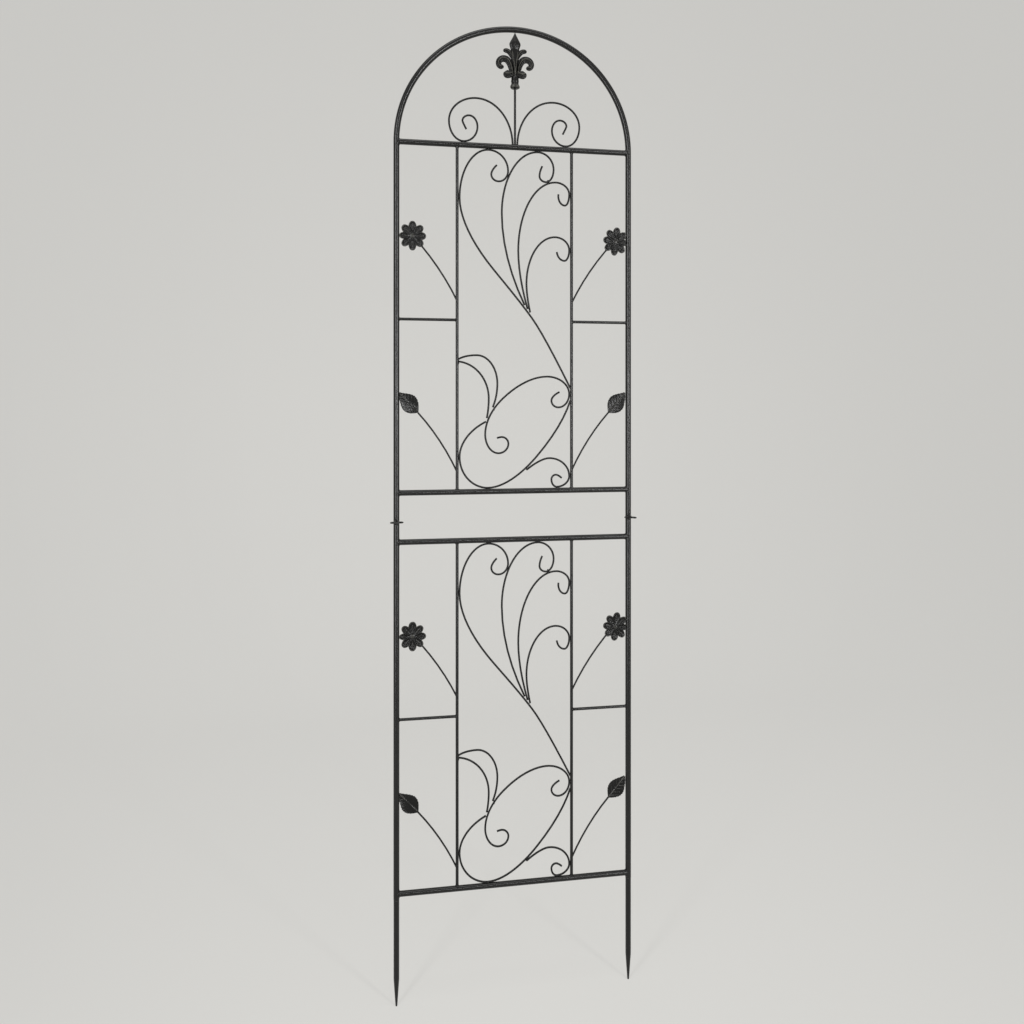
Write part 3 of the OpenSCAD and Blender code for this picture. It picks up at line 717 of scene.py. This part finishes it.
def petalTree():  # stands a petal at every step round an oval, one of them drawn in where the post is
    tree, given = newGroup("petalRing", {
        "Petal": "Geometry", "Count": "Int", "Half width": "Float", "Half height": "Float",
        "Petal length": "Float", "Turn": "Float", "Pinched": "Int", "Seed": "Int", "Finish": "Material"},
        "Ring")
    made = dict(given.items())
    made["index"] = addNode(tree, "GeometryNodeInputIndex")
    for name, middling, swing in (("uneven", 1.0, flower["uneven"]), ("tilt", 0.0, flower["tilt"])):
        made[name] = addNode(tree, "FunctionNodeRandomValue", {
            "Min": middling - swing, "Max": middling + swing, "ID": made["index"], "Seed": given["Seed"]},
            1, data_type="FLOAT")
    for name, operation, a, b in (  # each sum may use the inputs and the sums above it
            ("whole turns", "MULTIPLY", "index", 2 * math.pi), ("step", "DIVIDE", "whole turns", "Count"),
            ("angle", "ADD", "step", "Turn"), ("back", "MULTIPLY", "angle", -1.0),
            ("own", "SUBTRACT", "angle", "Turn"), ("cosine", "COSINE", "own", 0.0),
            ("sine", "SINE", "own", 0.0), ("across", "DIVIDE", "cosine", "Half width"),
            ("upwards", "DIVIDE", "sine", "Half height"), ("across squared", "POWER", "across", 2.0),
            ("upwards squared", "POWER", "upwards", 2.0), ("sum", "ADD", "across squared", "upwards squared"),
            ("root", "SQRT", "sum", 0.0), ("oval", "DIVIDE", 1.0, "root"),
            ("reach", "DIVIDE", "oval", "Petal length"), ("pinch", "COMPARE", "index", "Pinched"),
            ("narrower", "MULTIPLY", "pinch", flower["pinchWidth"]), ("narrow", "SUBTRACT", 1.0, "narrower"),
            ("wide", "MULTIPLY", "narrow", "uneven"),
            ("shorter", "MULTIPLY", "pinch", flower["pinchLength"]), ("short", "SUBTRACT", 1.0, "shorter"),
            ("long", "MULTIPLY", "reach", "short")):
        values = {0: made.get(a, a), 1: made.get(b, b)}
        made[name] = addNode(tree, "ShaderNodeMath", values, operation=operation)
    turn = addNode(tree, "ShaderNodeCombineXYZ", {"X": 0.0, "Y": made["back"], "Z": made["tilt"]})
    rotation = addNode(tree, "FunctionNodeEulerToRotation", {"Euler": turn})
    scale = addNode(tree, "ShaderNodeCombineXYZ", {"X": made["long"], "Y": 1.0, "Z": made["wide"]})
    spots = addNode(tree, "GeometryNodePoints", {"Count": given["Count"]})
    stood = addNode(tree, "GeometryNodeInstanceOnPoints",
                    {"Points": spots, "Instance": given["Petal"], "Rotation": rotation, "Scale": scale})
    real = addNode(tree, "GeometryNodeRealizeInstances", {"Geometry": stood})
    return closeGroup(tree, "Ring", real, given["Finish"])


petalRing = petalTree()


def flowerCentre():  # a domed centre inside a shallow groove
    r, dome = flower["centre"] * mm, flower["dome"] * mm
    profile = [(0.3 * mm, 0), (r * 0.98, 0), (r, 0.6 * mm), (r, 1.5 * mm), (r * 0.94, 2.0 * mm),
               (r * 0.84, 1.9 * mm)]
    profile += [(r * 0.80 * math.cos(t), 1.7 * mm + dome * math.sin(t)) for t in np.linspace(0.1, 1.5, 12)]
    points, faces, _ = turned(profile, flower["centreSides"], "y")
    # a painted highlight greys the crown of the dome
    return points, faces, np.clip((np.abs(points[:, 1]) - 2.6 * mm) / (2 * mm), 0, 0.5)


def flowerHead(panel, sideName, side):
    node = f"{panel}_{sideName}_flower"
    ring = runTree("petalRing", petalRing, petalMesh(), {
        "Count": flower["petals"], "Half width": flower["width"] * mm, "Half height": flower["height"] * mm,
        "Petal length": flower["tip"] * mm, "Turn": -math.radians(flower["turn"][sideName]),
        "Pinched": 4 if side < 0 else 0, "Seed": flower["seed"][panel], "Finish": pressedCoat})
    top = stemLine(panel, sideName, side, "flower")[-1]
    skin = moved(joined([skinOf(ring), flowerCentre()]), top[0] + side * flower["shift"][sideName] * mm,
                 flower["back"] * mm, top[2] + flower["lift"][sideName] * mm)
    skin[0][:, 0] = np.clip(skin[0][:, 0], -trimX, trimX)
    dress(node, newMesh(node, skin, 60), pressedCoat, bodyOf[panel])


leaf = {"length": 55.0, "slope": {"left": 46.6, "right": 50.0}, "lift": {"left": 0.6, "right": 0.0},
        "back": -0.5, "relief": {"left": 0.25, "right": 0.8},  # how deep the veins are struck near the stem
        "thick": 1.1, "cup": 4.0, "bow": 1.2, "midrib": 1.6, "veins": 5, "vein": 0.75, "roll": 0.4,
        "pillow": 0.35, "toothStep": 5.0, "tooth": 1.0, "steps": (120, 43),
        # half widths above and below the midrib, by the distance from the base
        "above": [(0, 1.2), (2.5, 4.2), (5.6, 7.2), (12.2, 13.3), (19.7, 17.0), (27.9, 18.2), (34.9, 15.8),
                  (42.1, 11.0), (48.5, 5.6), (55, 1.2)],
        "below": [(0, 1.2), (2, 4.6), (4.3, 7.7), (9.9, 13.7), (17.3, 17.8), (24.9, 18.4), (31.8, 16.5),
                  (38.9, 12.6), (45, 9.4), (50, 6.0), (55, 1.2)]}


def leafEdge(stations, count):  # half widths along the leaf, smoothed
    at, half = np.array(stations, float).T
    window = np.hanning(13)[1:-1]
    half = np.interp(np.linspace(0, leaf["length"], count), at, half)
    return np.convolve(np.pad(half, 5, mode="edge"), window / window.sum(), mode="valid")[:, None]


def leafSkin(nu, nv):  # faces of a front and a back sheet of nu by nv points, with the rim between them
    n = nu * nv
    faces = []
    for i in range(nu - 1):
        for j in range(nv - 1):
            a, b = i * nv + j, i * nv + j + 1
            faces += [(a, b, b + nv, a + nv), (a + nv + n, b + nv + n, b + n, a + n)]
    rim = [i * nv for i in range(nu)] + [(nu - 1) * nv + j for j in range(1, nv)]
    rim += [i * nv + nv - 1 for i in range(nu - 2, -1, -1)] + list(range(nv - 2, 0, -1))
    return faces + [(b, a, a + n, b + n) for a, b in zip(rim, rim[1:] + rim[:1])]


def leafBlade(relief):  # along +X from its base, facing -Y
    nu, nv = leaf["steps"]
    u, v = np.meshgrid(np.linspace(0, 1, nu), np.linspace(-1, 1, nv), indexing="ij")
    x, arch, beside = leaf["length"] * u, np.sin(np.pi * u), np.abs(v)
    teeth = leaf["tooth"] * ((x / leaf["toothStep"]) % 1 - 0.5) * beside ** 4
    teeth = teeth * easeBetween(0.08, 0.2, u) * easeBetween(1.0, 0.93, u)
    z = (np.where(v > 0, leafEdge(leaf["above"], nu), leafEdge(leaf["below"], nu)) + teeth) * v
    struck = np.interp(u, (0.5, 0.85), (relief, 1.0))
    spine = np.exp(-(z / 0.9) ** 2) * (0.35 + 0.65 * struck)
    lean = (x - 0.8 * np.abs(z)) / leaf["length"] * (leaf["veins"] + 1.5)
    ribs = np.exp(-(((lean % 1) - 0.5) / 0.12) ** 2) * np.clip(beside * 6, 0, 1)
    ribs = ribs * np.clip((1 - beside) * 6, 0, 1) * (lean > 0) * np.clip(arch, 0.02, 1) ** 0.3 * struck
    roll = leaf["roll"] * np.exp(-((1 - beside) / 0.08) ** 2)
    pillow = leaf["pillow"] * (1 - np.cos(2 * np.pi * lean)) * beside * (1 - beside) * struck  # between veins
    bow = leaf["bow"] * arch - 0.55 * leaf["cup"] * v ** 2 * np.clip(arch, 0, 1) ** 0.8
    bow = bow + leaf["bow"] * np.sin(2.2 * np.pi * u + 0.6) * beside
    front = bow - leaf["thick"] - leaf["midrib"] * spine * (1 - 0.5 * u) - leaf["vein"] * ribs - roll + pillow
    back = bow - 0.45 * leaf["midrib"] * spine
    points = np.concatenate([rowsOf(x.ravel(), y.ravel(), z.ravel()) for y in (front, back)]) * mm
    # a painted highlight along the midrib, the veins and the rolled edge
    rub = np.clip(spine * 0.95 + 0.6 * ribs + 0.5 * roll, 0, 1).ravel()
    return points, leafSkin(nu, nv), np.concatenate([rub, np.zeros(nu * nv)])


def leafPiece(panel, sideName, side):
    node = f"{panel}_{sideName}_leaf"
    points, faces, rub = leafBlade(leaf["relief"][sideName])
    c, s = heading(leaf["slope"][sideName])
    foot = stemLine(panel, sideName, side, "leaf")[-1]
    x = foot[0] * side + points[:, 0] * c - points[:, 2] * s
    z = foot[2] + leaf["lift"][sideName] * mm + points[:, 0] * s + points[:, 2] * c
    points = rowsOf(side * np.minimum(x, trimX), points[:, 1] + leaf["back"] * mm, z)
    dress(node, newMesh(node, (points, faces, rub), 50), pressedCoat, bodyOf[panel])


for panel in panels:
    for sideName, side in sides:
        for kind in ("flower", "leaf"):
            line = stemLine(panel, sideName, side, kind)
            bentWire(f"{panel}_{sideName}_{kind}_stem", line, stemRadius, bodyOf[panel])
        flowerHead(panel, sideName, side)
        leafPiece(panel, sideName, side)
print("flowers and leaves made")


# The cast fleur-de-lis, in millimetres from the foot of its collar
finial = {
    "height": 116, "sides": 40, "collarSides": 72, "bladeSides": 64, "lobes": 6,
    "depth": {"volute": 5.2, "upperLeaf": 4.4, "lowerCurl": 5.6},
    "collar": [
        (2.0, 0), (7.6, 0), (8.9, 0.8), (9.5, 2.6), (9.4, 4.6), (8.6, 6.8), (7.7, 9.0), (7.5, 11.0),
        (7.9, 13.0), (8.1, 15.0), (7.9, 17.0), (7.6, 19.0), (7.8, 21.0), (7.6, 23.0), (6.0, 25.5),
        (3.0, 28.0)],
    "blade": [
        (20, 3.4, 5.2), (28, 3.8, 5.9), (36, 4.4, 6.3), (44, 5.4, 6.4), (52, 6.8, 6.2), (60, 8.2, 5.8),
        (68, 9.2, 5.4), (74, 9.1, 5.0), (78, 8.9, 4.8), (82, 9.3, 4.9), (86, 10.6, 5.2), (91, 11.8, 5.4),
        (93, 11.6, 5.2), (96, 10.4, 4.8), (101, 7.7, 3.9), (107, 4.5, 2.7), (112, 2.0, 1.4),
        (115, 0.8, 0.7), (116, 0.25, 0.3)],
    "volute": [
        (5.5, 24, 3.5), (6.5, 31, 4.6), (7.5, 39, 5.6), (9.5, 47, 6.2), (12.6, 54, 6.7), (17.2, 59.2, 7.0),
        (22.8, 60.8, 7.0), (28.4, 59.8, 6.7), (32.8, 56.0, 6.3), (34.4, 51.0, 6.0), (33.2, 46.6, 5.7),
        (30.4, 44.4, 5.5), (27.2, 44.6, 5.2), (24.6, 46.6, 4.4)],
    "upperLeaf": [
        (5.0, 62, 3.2), (8.5, 70, 4.8), (13.0, 75.6, 5.0), (18.0, 77.7, 4.7), (21.6, 77.2, 4.3),
        (24.2, 75.4, 3.3)],
    "lowerCurl": [
        (4.0, 33.0, 4.0), (8.0, 30.6, 6.4), (12.0, 29.3, 7.8), (16.5, 29.2, 8.3), (20.5, 30.0, 7.6),
        (24.2, 31.6, 4.6)]}


def throughPoints(stations, step=0.7):  # an even, smooth run through stations, along their first two values
    s = np.array(stations, float)
    d = runLength(s[:, :2])
    slope = np.gradient(s, d, axis=0)
    made = []
    for x in np.linspace(0, d[-1], max(12, int(d[-1] / step))):
        k = min(max(np.searchsorted(d, x) - 1, 0), len(d) - 2)
        h = d[k + 1] - d[k]
        f = (x - d[k]) / h
        g = 1 - f
        made.append(g * g * (1 + 2 * f) * s[k] + f * g * g * h * slope[k]
                    + f * f * (3 - 2 * f) * s[k + 1] - f * f * g * h * slope[k + 1])
    return np.array(made)


def castScroll(stations, depth, flip):  # a scroll with a raised ridge along it and a rounded tip
    run = throughPoints(stations)
    direction = np.gradient(run[:, :2], axis=0)
    direction /= np.linalg.norm(direction, axis=1)[:, None]
    a = around(finial["sides"])
    c, s = np.cos(a), np.sin(a)
    crest = np.exp(-((c - 0.12) / 0.2) ** 2)  # the raised line runs just outside the middle
    fall = np.abs(s) ** 0.75 * (0.70 + 0.50 * crest) - 0.2 * np.exp(-((np.abs(c - 0.12) - 0.5) / 0.2) ** 2)
    fall = -np.sign(s) * np.maximum(fall, 0) * depth
    length = runLength(run[:, :2])
    rings = []
    for (x, z, w), (dx, dz), left in zip(run, direction, length[-1] - length):
        close = math.sqrt(max(1 - max(1 - left / w, 0) ** 2, 0.004))
        wide = c * w * close
        rings.append(rowsOf(flip * (x - dz * wide), fall * close * min(1, w / 4.5), z + dx * wide))
    # a painted highlight greys the crest
    return stackRings(rings, rub=np.tile(crest, len(run)))


def finialCollar():
    a = around(finial["collarSides"])
    rings = []
    for r, h in finial["collar"]:
        lobed = r * (1 + 0.055 * np.cos(finial["lobes"] * a) * np.clip((r - 7.6) / 1.6, 0, 1))
        rings.append(rowsOf(lobed * np.cos(a), lobed * np.sin(a) * 0.98, h))
    points, faces, _ = stackRings(rings)
    # a painted highlight greys the outer edges of the collar's lobes
    return points, faces, np.clip((np.hypot(points[:, 0], points[:, 1]) - 8.2) / 1.2, 0, 0.8)


def finialBlade():  # twin ridges that part towards the spearhead, which has one of its own
    a = around(finial["bladeSides"])
    c, s = np.cos(a), np.sin(a)
    rings, rub = [], []
    for _, z, w, depth in throughPoints([(0, *station) for station in finial["blade"]]):
        x = c * w
        spread = np.interp(z, (30, 40, 50, 62, 72, 80), (0.6, 1.0, 2.0, 4.0, 5.6, 6.4))
        ridge = np.interp(z, (24, 30, 72, 80), (0, 1, 1, 0))
        twin = np.exp(-((np.abs(x) - spread) / 0.9) ** 2)
        head = np.interp(z, (78, 88, 112), (0, 1, 0.6)) * np.exp(-(c / 0.22) ** 2)
        fall = np.abs(s) ** 0.8 * (0.80 + 0.20 * head) * depth + ridge * 1.2 * twin * np.abs(s) ** 0.3
        fall -= ridge * 0.7 * np.exp(-(x / max(spread - 0.8, 0.9)) ** 2)
        fall -= 0.5 * np.interp(z, (78, 81, 84), (0, 1, 0)) * np.abs(s)  # a groove under the spearhead
        rings.append(rowsOf(x, -np.sign(s) * np.maximum(fall, 0), z))
        # a painted highlight greys the twin ridges and the spearhead's middle
        rub.append(np.clip(ridge * twin + 0.35 * head, 0, 1))
    return stackRings(rings, rub=np.concatenate(rub))


def finialPiece():
    parts = [finialCollar(), finialBlade()]
    for flip in (1, -1):
        parts += [castScroll(finial[key], depth, flip) for key, depth in finial["depth"].items()]
    points, faces, rub = joined(outward(parts))
    foot = low("finial").z
    points = points * (springZ + postX - tubeRadius - foot) / finial["height"] + np.array([0, 0, foot])
    dress("finial", newMesh("finial", (points, faces, rub), 48), castCoat, "upper_panel")


finialPiece()
print("finial made")


# Welds: a rippled bead round every bar end, and dabs where the wires touch, in millimetres from
# the middle of the panel's bottom rail or, for the top scrolls, of its top rail
welds = {"sides": 12, "bead": 1.15, "ripple": 0.096, "rough": 0.05, "step": 0.8, "dab": 1.5, "dabOut": 1.1,
         "lumps": 0.9, "lumpScale": 620.0, "dabSeed": 5, "seed": {"lower": 11, "upper": 29},
         "size": {"rail": 1.0, "upright": 0.85, "crossbar": 0.85, "inner": 0.75, "boss": 0.7, "rod": 0.8},
         "wireDabs": [
             (-16.6, 653.7), (17.4, 383.6), (23.8, 375.3), (28.8, 368.6), (20.9, 45.9), (-43.4, 171.5),
             (-44.2, 168.6), (-55.5, 150), (-56.4, 146.8), (69.9, 647), (-62, 143.7), (-116.6, 604),
             (-116.6, 72), (-118, 270), (-118, 264), (116.6, 620), (116.6, 503), (118, 214), (118, 202),
             (118, 188), (116.6, 30), (-55.4, 706.4), (48.5, 706.4), (-56.6, 6.6), (88.9, 6.6)],
         "topDabs": [(107.5, 6.6), (4.8, 6.6), (-4.8, 6.6), (-107.5, 6.6)]}


def saddle(centre, away, radius, wall, size):  # closed line where a round bar, running away, meets a tube
    away = np.array(away, float)
    a = around(int(2 * np.pi * radius / (welds["step"] * mm)) * 2)
    c, s = radius * np.cos(a)[:, None], radius * np.sin(a)[:, None]
    beside, level = np.array([0, 1.0, 0]), np.array([away[2], 0, -away[0]])
    if away[1]:  # a boss on the front of a post
        beside, level = np.array([1.0, 0, 0]), np.array([0, 0, 1.0])
    out = np.sqrt(np.maximum(wall ** 2 - s ** 2, 0))
    return np.asarray(centre) + out * away + s * beside + c * level, size


def panelBeads(panel):
    foot, head, size = panelFoot[panel], panelHead[panel], welds["size"]
    bossRadius = screws["bossRadius"] * mm
    beads = [saddle((side * postX, 0, z), (-side, 0, 0), railRadius, tubeRadius, size["rail"])
             for z in (foot, head) for _, side in sides]
    for sideName, side in sides:
        post, upright = side * postX, side * uprightX
        z = middle(f"{panel}_{sideName}_crossbar").z
        beads += [saddle((upright, 0, foot), (0, 0, 1), uprightRadius, railRadius, size["upright"]),
                  saddle((upright, 0, head), (0, 0, -1), uprightRadius, railRadius, size["upright"]),
                  saddle((post, 0, z), (-side, 0, 0), crossbarRadius, tubeRadius, size["crossbar"]),
                  saddle((upright, 0, z), (side, 0, 0), crossbarRadius * 0.97, uprightRadius, size["inner"])]
        if panel == "lower":
            beads.append(saddle((post, 0, screwZ), (0, -1, 0), bossRadius, tubeRadius, size["boss"]))
    if panel == "upper":
        beads.append(saddle((0, 0, head), (0, 0, 1), rodRadius, railRadius, size["rod"]))
    return beads


def dabTree():  # a lumpy dab of weld at every point, no two alike
    tree, given = newGroup("weldDabs", {"Spots": "Geometry", "Size": "Float", "Lumps": "Float", "Seed": "Int",
                                        "Finish": "Material"}, "Dabs")
    ball = addNode(tree, "GeometryNodeMeshIcoSphere", {"Radius": given["Size"], "Subdivisions": 4})
    spots = addNode(tree, "GeometryNodeMeshToPoints", {"Mesh": given["Spots"]})
    stretch = addNode(tree, "FunctionNodeRandomValue",
                      {0: (0.85, 0.95, 0.85), 1: (1.35, 1.2, 1.35), "Seed": given["Seed"]},
                      data_type="FLOAT_VECTOR")
    stood = addNode(tree, "GeometryNodeInstanceOnPoints",
                    {"Points": spots, "Instance": ball, "Scale": stretch})
    noise = addNode(tree, "ShaderNodeTexNoise", {"Scale": welds["lumpScale"], "Detail": 2.0})
    swell = addNode(tree, "ShaderNodeMath", {0: noise, 1: 0.5}, operation="SUBTRACT")
    push = addNode(tree, "ShaderNodeMath", {0: swell, 1: given["Lumps"]}, operation="MULTIPLY")
    normal = addNode(tree, "GeometryNodeInputNormal")
    move = addNode(tree, "ShaderNodeVectorMath", {0: normal, 3: push}, operation="SCALE")
    real = addNode(tree, "GeometryNodeRealizeInstances", {"Geometry": stood})
    lumpy = addNode(tree, "GeometryNodeSetPosition", {"Geometry": real, "Offset": move})
    return closeGroup(tree, "Dabs", lumpy, given["Finish"])


weldDabs = dabTree()


def panelWelds(panel):
    rng = np.random.default_rng(welds["seed"][panel])
    runs = []
    for line, size in panelBeads(panel):
        n = len(line)
        ripple = 1 + welds["ripple"] * np.cos(np.arange(n) * np.pi) + rng.normal(0, welds["rough"], n)
        runs.append((line, welds["bead"] * mm * size * ripple, True))
    beads = skinOf(sweep(panel + "Beads", runs, welds["sides"], weldCoat))
    spots = [(x * mm, y * mm, panelFoot[panel] + z * mm)
             for y in (-welds["dabOut"], welds["dabOut"]) for x, z in welds["wireDabs"]]
    if panel == "upper":
        spots += [(x * mm, 0, panelHead[panel] + z * mm) for x, z in welds["topDabs"]]
    dabs = skinOf(runTree(panel + "Dabs", weldDabs, plainMesh("dabSpots", spots, []), {
        "Size": welds["dab"] * mm, "Lumps": welds["lumps"] * mm, "Seed": welds["dabSeed"],
        "Finish": weldCoat}))
    points, faces, _ = joined([beads, dabs])
    addPiece(panel + "Welds", newMesh(panel + "Welds", (points, faces, None), 60), weldCoat, bodyOf[panel])


for panel in panels:
    panelWelds(panel)
print("welds made")


studio = {"paper": "#e9e8e4", "glow": 0.68, "worldLevel": 0.04, "beyond": 0.60, "spread": 100,
          "floor": {"near": -4.0, "start": 1.6, "curve": 1.2, "top": 6.0, "half": 7}, "aim": (0, 0, 1.05),
          "left": {"at": (-1.15, -1.55, 1.35), "size": (0.26, 2.5), "power": 9.4},
          "right": {"at": (1.35, -2.35, 1.35), "size": (0.26, 2.5), "power": 12.2},
          "front": {"at": (0.35, -2.7, 1.3), "size": (1.3, 0.12), "power": 3.6},
          "over": {"at": (0, -0.7, 3.4), "size": (2.0, 0.9), "power": 5.0}}
view = {"sensor": 36, "lens": 30.97, "shift": (-0.0029, -0.1021), "yaw": 10, "distance": 1.828,
        "height": 1.2135}


def seenRays(tree):  # 1 for the rays that show a background: straight on, in a gloss, through glass
    path = tree.nodes.new("ShaderNodeLightPath").outputs
    seen = path["Is Camera Ray"]
    for kind in ("Is Glossy Ray", "Is Transmission Ray"):
        seen = addNode(tree, "ShaderNodeMath", {0: seen, 1: path[kind]}, operation="MAXIMUM")
    return seen


def makeStage():
    near, start, curve, top, half = studio["floor"].values()
    shape = [(near, 0.0), (start, 0.0)]
    shape += [(start + curve * math.sin(a), curve - curve * math.cos(a))
              for a in np.linspace(0.08, math.pi / 2, 24)]
    shape += [(start + curve, top)]
    points = [(x, y, z) for y, z in shape for x in (-half, half)]
    faces = [(2 * i, 2 * i + 1, 2 * i + 3, 2 * i + 2) for i in range(len(shape) - 1)]
    mesh = plainMesh("studioFloor", points, faces)
    mesh.shade_smooth()
    material = bpy.data.materials.new("paleStudioPaper")  # matt paper sweep, even, with a soft shadow on it
    tree = clearTree(material)
    paper = addNode(tree, "ShaderNodeBsdfPrincipled",
                    {"Base Color": fromHex(studio["paper"]), "Roughness": 0.9, "Specular IOR Level": 0.1})
    white = addNode(tree, "ShaderNodeEmission", {"Color": fromHex(studio["paper"]), "Strength": 1.0})
    share = addNode(tree, "ShaderNodeMath", {0: seenRays(tree), 1: studio["glow"]}, operation="MULTIPLY")
    both = addNode(tree, "ShaderNodeMixShader", {0: share, 1: paper, 2: white})
    addNode(tree, "ShaderNodeOutputMaterial", {"Surface": both})
    mesh.materials.append(material)
    floor = newObject("studioFloor", mesh)


def addLamp(name, place, size, power):
    data = bpy.data.lights.new(name, "AREA")
    data.shape = "RECTANGLE"
    data.size, data.size_y = size
    data.energy = power
    data.spread = math.radians(studio["spread"])
    lamp = newObject(name, data)
    lamp.location = place
    lamp.rotation_euler = (Vector(studio["aim"]) - Vector(place)).to_track_quat("-Z", "Y").to_euler()


def makeLights():
    scene.world = bpy.data.worlds.new("studioWorld")
    tree = clearTree(scene.world)
    level = addNode(tree, "ShaderNodeMapRange", {"Value": seenRays(tree), "To Min": studio["worldLevel"],
                                                 "To Max": studio["beyond"]})
    sky = addNode(tree, "ShaderNodeBackground", {"Color": fromHex(studio["paper"]), "Strength": level})
    addNode(tree, "ShaderNodeOutputWorld", {"Surface": sky})
    for key in ("left", "right", "front", "over"):
        addLamp(key + "Softbox", studio[key]["at"], studio[key]["size"], studio[key]["power"])


def makeCamera():  # level, at six tenths of the height, ten degrees to the left of square on
    data = bpy.data.cameras.new("camera")
    data.sensor_width, data.lens = view["sensor"], view["lens"]
    data.shift_x, data.shift_y = view["shift"]
    camera = newObject("camera", data)
    yaw, distance = math.radians(view["yaw"]), view["distance"]
    camera.location = (-distance * math.sin(yaw), -distance * math.cos(yaw), view["height"])
    camera.rotation_euler = (math.radians(90), 0, -yaw)
    scene.camera = camera


makeStage()
makeLights()
makeCamera()
scene.view_settings.view_transform = "Standard"
print("studio set")
